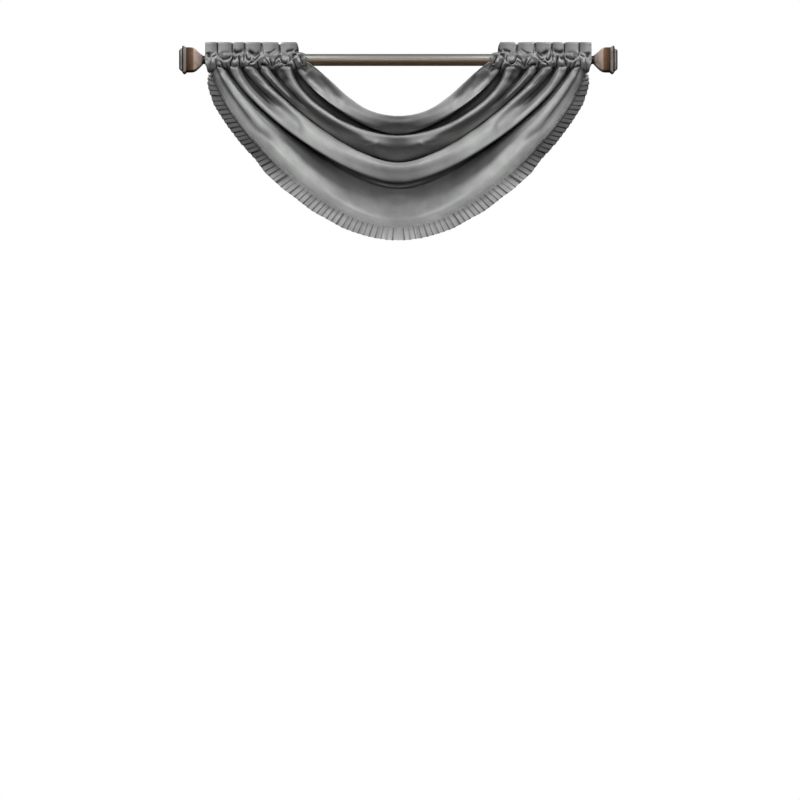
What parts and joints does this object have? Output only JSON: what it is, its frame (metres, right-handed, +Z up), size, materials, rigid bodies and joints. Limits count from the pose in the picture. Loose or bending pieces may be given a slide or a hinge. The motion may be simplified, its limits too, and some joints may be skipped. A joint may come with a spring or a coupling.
{
  "type": "waterfall valance on a curtain rod",
  "caption": "Grey satin waterfall valance hung in nested cowl folds from gathered rod-pocket headings, with a knife-pleated ruffle, on a round rod with square flared finials.",
  "frame": {"origin": "middle of the rod's axis", "axes": "+X along the rod to the viewer's right, +Z up, the front of the cloth faces -Y"},
  "size_m": [1.167, 0.0962, 0.5298],
  "materials": {
    "swag_satin": "grey polyester satin",
    "heading_satin": "grey polyester satin, gathered",
    "ruffle_satin": "grey polyester satin, pleated",
    "rod_pewter": "brushed antique pewter",
    "finial_bronze": "satin antique bronze",
    "collar_dark": "dark antique bronze"
  },
  "bodies": {
    "root": {"swag_panel": "swag_satin", "heading_left": "heading_satin", "heading_right": "heading_satin", "ruffle": "ruffle_satin", "rod": "rod_pewter", "finial_collar_left": "collar_dark", "finial_collar_right": "collar_dark", "finial_body_left": "finial_bronze", "finial_body_right": "finial_bronze", "finial_cap_left": "finial_bronze", "finial_cap_right": "finial_bronze"}
  },
  "joints": []
}
